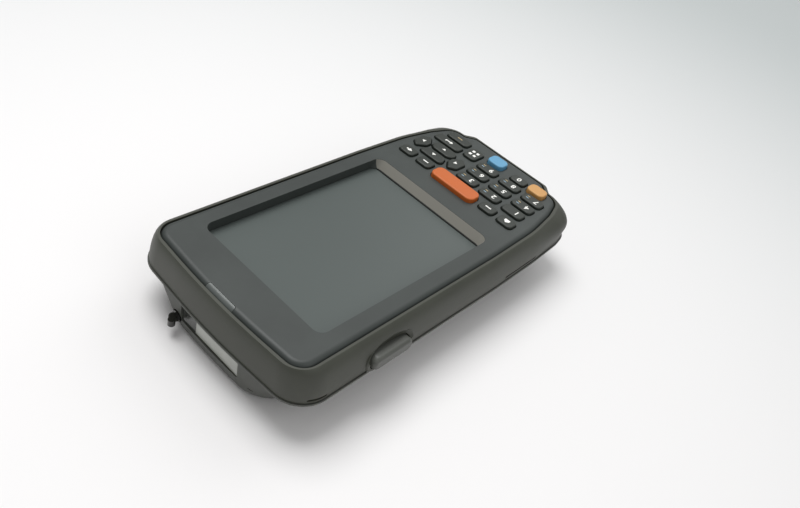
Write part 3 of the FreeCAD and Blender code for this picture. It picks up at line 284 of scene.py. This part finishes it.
def digit_mark(key, digit, shift):
    name = "legend_" + key
    curve = bpy.data.curves.new(name, "FONT")
    curve.body = str(digit)
    curve.size = DIGIT_SIZE
    curve.align_x = "CENTER"
    curve.align_y = "CENTER"
    curve.extrude = PRINT_HALF_THICK
    curve.offset = DIGIT_BOLDER
    text = bpy.data.objects.new(name, curve)
    bpy.context.scene.collection.objects.link(text)
    top = top_of(key)
    text.location = (top.x + shift * MM, top.y, top.z)
    bpy.context.view_layer.update()
    mesh = bpy.data.meshes.new_from_object(text)
    mesh.transform(text.matrix_world)
    bpy.data.objects.remove(text)
    print_on(key, name, mesh, legend_white)


def bar(half_long, half_high):
    return [(x * half_long, y * half_high) for x, y in CORNERS]


# Two short ticks beside a digit stand for its second legends
TICK = bar(0.8, 0.25)
TICK_TAN_AT = (2.5, -0.7)
TICK_BLUE_AT = (2.5, 0.6)
FIRST_DIGIT_WITH_TICKS = 2

MARKS = {
    "home": ([(-1.5, -1.3), (1.5, -1.3), (1.5, 0.2), (0, 1.6), (-1.5, 0.2)], legend_white),
    "soft_left": (bar(1.7, 0.4), legend_white),
    "soft_right": (bar(1.7, 0.4), legend_white),
    "back": ([(-1.9, 0), (0.2, -1.4), (0.2, -0.45), (1.7, -0.45), (1.7, 0.45), (0.2, 0.45), (0.2, 1.4)],
             legend_white),
    "up": ([(-1.3, -0.8), (1.3, -0.8), (0, 1.0)], legend_white),
    "down": ([(-1.2, 0.7), (0, -0.9), (1.2, 0.7)], legend_white),
    "left": ([(0.8, -1.3), (0.8, 1.3), (-1.0, 0)], legend_white),
    "right": ([(-0.8, -1.3), (1.0, 0), (-0.8, 1.3)], legend_white),
    "enter": ([(-2.6, 0), (-0.9, -1.2), (-0.9, -0.4), (2.4, -0.4), (2.4, 1.0), (1.6, 1.0), (1.6, 0.4),
               (-0.9, 0.4), (-0.9, 1.2)], legend_white),
    "clear": (bar(1.6, 0.3), legend_tan),
}

# The menu key has four small panes
PANE = bar(0.8, 0.9)
PANE_STEP_X = 1.1
PANE_STEP_Y = 1.3


def print_digits():
    for digit in range(10):
        key = "key_%d" % digit
        digit_mark(key, digit, DIGIT_SHIFT if digit else 0)
        if digit >= FIRST_DIGIT_WITH_TICKS:
            flat_mark("tick_a_" + key, key, TICK, legend_tan, TICK_TAN_AT)
            flat_mark("tick_b_" + key, key, TICK, legend_blue, TICK_BLUE_AT)


def print_marks():
    for name, (points, look) in MARKS.items():
        flat_mark("mark_" + name, "key_" + name, points, look)
    for column in (-1, 1):
        for row in (-1, 1):
            name = "mark_menu_%d%d" % (column + 1, row + 1)
            flat_mark(name, "key_menu", PANE, legend_white, (column * PANE_STEP_X, row * PANE_STEP_Y))


print_digits()
print_marks()


# Stage, camera and lights

# A painted pool of light: the floor is painted bright round one spot and greyer away from it, standing in for
# the light falling off, over these distances
FLOOR_HALF = 3.0
FLOOR_ROUGHNESS = 0.9
FLOOR_SPECULAR = 0.1
FLOOR_PAINTED_LIGHT_CENTRE = (-0.03, 0.12, 0.0)
FLOOR_PAINTED_FALLOFF_BEGINS = 0.04
FLOOR_PAINTED_FALLOFF_FULL = 0.7
FLOOR_PAINTED_LIT_COLOR = (0.87, 0.86, 0.86, 1)
FLOOR_PAINTED_SHADE_COLOR = (0.5, 0.53, 0.53, 1)

# The camera of the photograph, from a fit to the terminal in it: sensor and lens in mm, the rest in metres
CAMERA_SENSOR = 36.0
CAMERA_LENS = 33.09
CAMERA_CLIP = 0.01
CAMERA_PLACE = (-0.1173, 0.1771, 0.1868)
CAMERA_RIGHT = (-0.706, -0.665, 0.244)
CAMERA_BACK = (-0.403, 0.661, 0.633)

# Each lamp's place and width in metres, and its watts
LAMPS = {
    "key_light": ((0.42, 0.0, 1.1), 0.8, 9.5),
    "fill_light": ((-0.9, 0.0, 0.8), 1.0, 2.0),
    "back_light": ((0.1, -0.9, 0.9), 1.0, 3.0),
}
SKY_STRENGTH = 0.4


def floor_paint():
    mat = bpy.data.materials.new("floor_paint")
    mat.use_nodes = True
    tree = mat.node_tree
    bsdf = tree.nodes["Principled BSDF"]
    bsdf.inputs["Roughness"].default_value = FLOOR_ROUGHNESS
    bsdf.inputs["Specular IOR Level"].default_value = FLOOR_SPECULAR
    # Painted light: bright near the spot, painted greyer further away
    away = add_node(tree, "VectorMath", {1: FLOOR_PAINTED_LIGHT_CENTRE}, operation="DISTANCE")
    tree.links.new(add_node(tree, "TexCoord", {}).outputs["Object"], away.inputs[0])
    fade = add_node(tree, "MapRange", {"From Min": FLOOR_PAINTED_FALLOFF_BEGINS, "From Max": FLOOR_PAINTED_FALLOFF_FULL},
                    interpolation_type="SMOOTHSTEP")
    tree.links.new(away.outputs["Value"], fade.inputs["Value"])
    mix = add_node(tree, "Mix", {6: FLOOR_PAINTED_LIT_COLOR, 7: FLOOR_PAINTED_SHADE_COLOR}, data_type="RGBA")
    tree.links.new(fade.outputs["Result"], mix.inputs[0])
    tree.links.new(mix.outputs[2], bsdf.inputs["Base Color"])
    return mat


def floor_plane():
    mesh = bpy.data.meshes.new("floor")
    corners = [(x * FLOOR_HALF, y * FLOOR_HALF, 0) for x, y in CORNERS]
    mesh.from_pydata(corners, [], [[0, 1, 2, 3]])
    mesh.materials.append(floor_paint())
    plane = bpy.data.objects.new("floor", mesh)
    bpy.context.scene.collection.objects.link(plane)


def camera():
    data = bpy.data.cameras.new("camera")
    data.sensor_width = CAMERA_SENSOR
    data.lens = CAMERA_LENS
    data.clip_start = CAMERA_CLIP
    data.dof.use_dof = False
    obj = bpy.data.objects.new("camera", data)
    bpy.context.scene.collection.objects.link(obj)
    back = Vector(CAMERA_BACK).normalized()
    up = back.cross(Vector(CAMERA_RIGHT).normalized()).normalized()
    right = up.cross(back).normalized()
    place = Matrix.Identity(4)
    for i in range(3):
        place[i][0] = right[i]
        place[i][1] = up[i]
        place[i][2] = back[i]
    place.translation = Vector(CAMERA_PLACE)
    obj.matrix_world = place
    bpy.context.scene.camera = obj


def lamp(name, place, width, watts):
    # A round lamp that faces the origin
    data = bpy.data.lights.new(name, "AREA")
    data.shape = "DISK"
    data.size = width
    data.energy = watts
    obj = bpy.data.objects.new(name, data)
    bpy.context.scene.collection.objects.link(obj)
    obj.location = place
    obj.rotation_euler = (-Vector(place)).to_track_quat("-Z", "Y").to_euler()


def sky():
    world = bpy.data.worlds.new("sky")
    world.use_nodes = True
    tree = world.node_tree
    tree.nodes.clear()
    plain = add_node(tree, "Background", {"Color": (1, 1, 1, 1), "Strength": SKY_STRENGTH})
    out = add_node(tree, "OutputWorld", {})
    tree.links.new(plain.outputs["Background"], out.inputs["Surface"])
    bpy.context.scene.world = world


floor_plane()
camera()
for lamp_name, (lamp_place, lamp_width, lamp_watts) in LAMPS.items():
    lamp(lamp_name, lamp_place, lamp_width, lamp_watts)
sky()
bpy.context.scene.view_settings.view_transform = "Standard"
